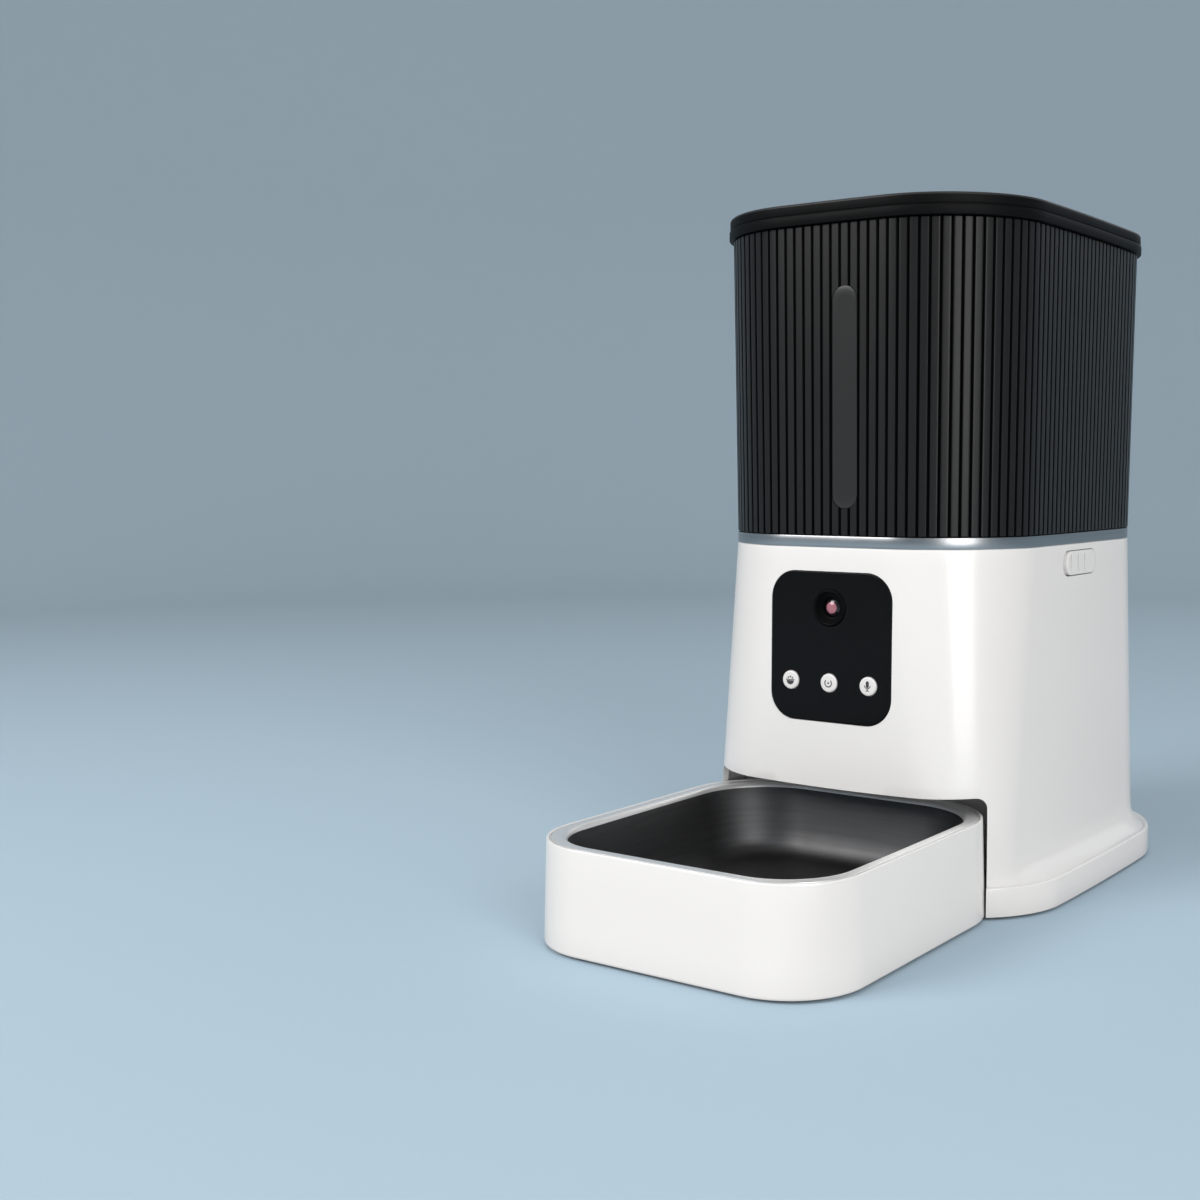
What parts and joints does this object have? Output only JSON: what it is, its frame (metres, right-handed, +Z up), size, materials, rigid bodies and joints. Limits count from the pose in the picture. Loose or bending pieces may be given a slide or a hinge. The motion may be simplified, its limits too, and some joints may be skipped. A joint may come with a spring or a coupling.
{
  "type": "automatic pet feeder",
  "caption": "Automatic pet feeder with a fluted lift-off food hopper, a camera panel with buttons, a gear-driven portion rotor, and a slide-out tray with a steel bowl.",
  "frame": {"origin": "on the floor under the middle of the whole feeder", "axes": "+Z up, -Y out of the front where the tray and the camera are, +X to the right seen from the front"},
  "size_m": [0.183, 0.3425, 0.31],
  "materials": {
    "white_shell": "glossy white moulded plastic",
    "grey_plastic": "light grey moulded plastic",
    "rubber": "matt dark rubber",
    "steel": "zinc plated",
    "trim_metal": "brushed metal band",
    "dark_plastic": "matt black",
    "panel_gloss": "polished black",
    "camera_black": "satin black",
    "lens_glass": "coated glass",
    "circuit_board": "green solder mask",
    "button_white": "white",
    "gearbox_plastic": "grey",
    "motor_can": "plated steel",
    "pinion_brass": "machined",
    "gear_plastic": "natural acetal",
    "bowl_steel": "satin stainless steel",
    "hopper_black": "satin smoke black",
    "window_smoke": "smoked clear plastic, nearly opaque",
    "inner_black": "black",
    "silicone": "soft silicone",
    "lid_black": "satin black"
  },
  "bodies": {
    "base": {"base_shell": "white_shell", "bottom_plate": "grey_plastic", "base_feet": "rubber", "plate_screws": "steel", "trim_ring": "trim_metal", "deck": "white_shell", "bay_liner": "white_shell", "chute": "white_shell", "panel_carrier": "dark_plastic", "front_panel": "panel_gloss", "camera_ring": "camera_black", "camera_lens": "lens_glass", "camera_barrel": "dark_plastic", "camera_board": "circuit_board", "button_board": "circuit_board", "button_switches": "steel", "main_board": "circuit_board", "speaker": "dark_plastic", "speaker_ring": "grey_plastic", "power_inlet": "dark_plastic", "food_sensors": "dark_plastic", "gearbox_base": "gearbox_plastic", "gearbox_cover": "steel", "gearbox_screws": "steel", "drive_motor": "motor_can", "idler_pin": "steel", "battery_box": "grey_plastic", "battery_contacts": "steel"},
    "hopper": {"hopper": "hopper_black", "hopper_floor": "inner_black", "level_window": "window_smoke", "hopper_funnel": "inner_black", "rotor_chamber": "inner_black", "chamber_screws": "steel", "portion_guard": "inner_black"},
    "lid": {"lid": "lid_black", "lid_seal": "silicone", "dry_box": "grey_plastic", "dry_box_cover": "grey_plastic"},
    "rotor": {"rotor": "silicone", "stirrer": "silicone"},
    "output": {"output_gear": "gear_plastic"},
    "idler": {"idler_gear": "gear_plastic"},
    "pinion": {"motor_pinion": "pinion_brass"},
    "tray": {"tray": "white_shell", "tray_feet": "rubber"},
    "bowl": {"bowl": "bowl_steel"},
    "button_left": {"button_left": "button_white"},
    "button_middle": {"button_middle": "button_white"},
    "button_right": {"button_right": "button_white"},
    "latch_left": {"latch_left": "white_shell"},
    "latch_right": {"latch_right": "white_shell"},
    "battery_door": {"battery_door": "grey_plastic"}
  },
  "joints": [
    {"name": "hopper_lift", "type": "slide", "parent": "base", "child": "hopper", "axis": [0, 0, 1], "range_m": [0, 0.15]},
    {"name": "lid_lift", "type": "slide", "parent": "hopper", "child": "lid", "axis": [0, 0, 1], "range_m": [0, 0.06]},
    {"name": "rotor_spin", "type": "hinge", "parent": "hopper", "child": "rotor", "pos_m": [0, 0.07475, 0.1], "axis": [0, 0, 1], "continuous": true},
    {"name": "output_spin", "type": "hinge", "parent": "base", "child": "output", "pos_m": [0, 0.07475, 0.1], "axis": [0, 0, 1], "continuous": true},
    {"name": "idler_spin", "type": "hinge", "parent": "base", "child": "idler", "pos_m": [0, 0.09775, 0.1], "axis": [0, 0, 1], "continuous": true},
    {"name": "pinion_spin", "type": "hinge", "parent": "base", "child": "pinion", "pos_m": [0, 0.12175, 0.1], "axis": [0, 0, 1], "continuous": true},
    {"name": "tray_slide", "type": "slide", "parent": "base", "child": "tray", "axis": [0, -1, 0], "range_m": [0, 0.06]},
    {"name": "bowl_lift", "type": "slide", "parent": "tray", "child": "bowl", "axis": [0, 0, 1], "range_m": [0, 0.007]},
    {"name": "button_left_press", "type": "slide", "parent": "base", "child": "button_left", "axis": [0, 1, 0], "range_m": [0, 0.0008], "stiffness_N_per_m": 400},
    {"name": "button_middle_press", "type": "slide", "parent": "base", "child": "button_middle", "axis": [0, 1, 0], "range_m": [0, 0.0008], "stiffness_N_per_m": 400},
    {"name": "button_right_press", "type": "slide", "parent": "base", "child": "button_right", "axis": [0, 1, 0], "range_m": [0, 0.0008], "stiffness_N_per_m": 400},
    {"name": "latch_left_slide", "type": "slide", "parent": "base", "child": "latch_left", "axis": [0, -1, 0], "range_m": [0, 0.004]},
    {"name": "latch_right_slide", "type": "slide", "parent": "base", "child": "latch_right", "axis": [0, -1, 0], "range_m": [0, 0.004]},
    {"name": "battery_door_slide", "type": "slide", "parent": "base", "child": "battery_door", "axis": [0, 1, 0], "range_m": [0, 0.07]}
  ],
  "couplings": [
    {"joint": "output_spin", "follows": "rotor_spin", "ratio": 1},
    {"joint": "idler_spin", "follows": "rotor_spin", "ratio": -2.2857},
    {"joint": "pinion_spin", "follows": "rotor_spin", "ratio": 5.551}
  ]
}
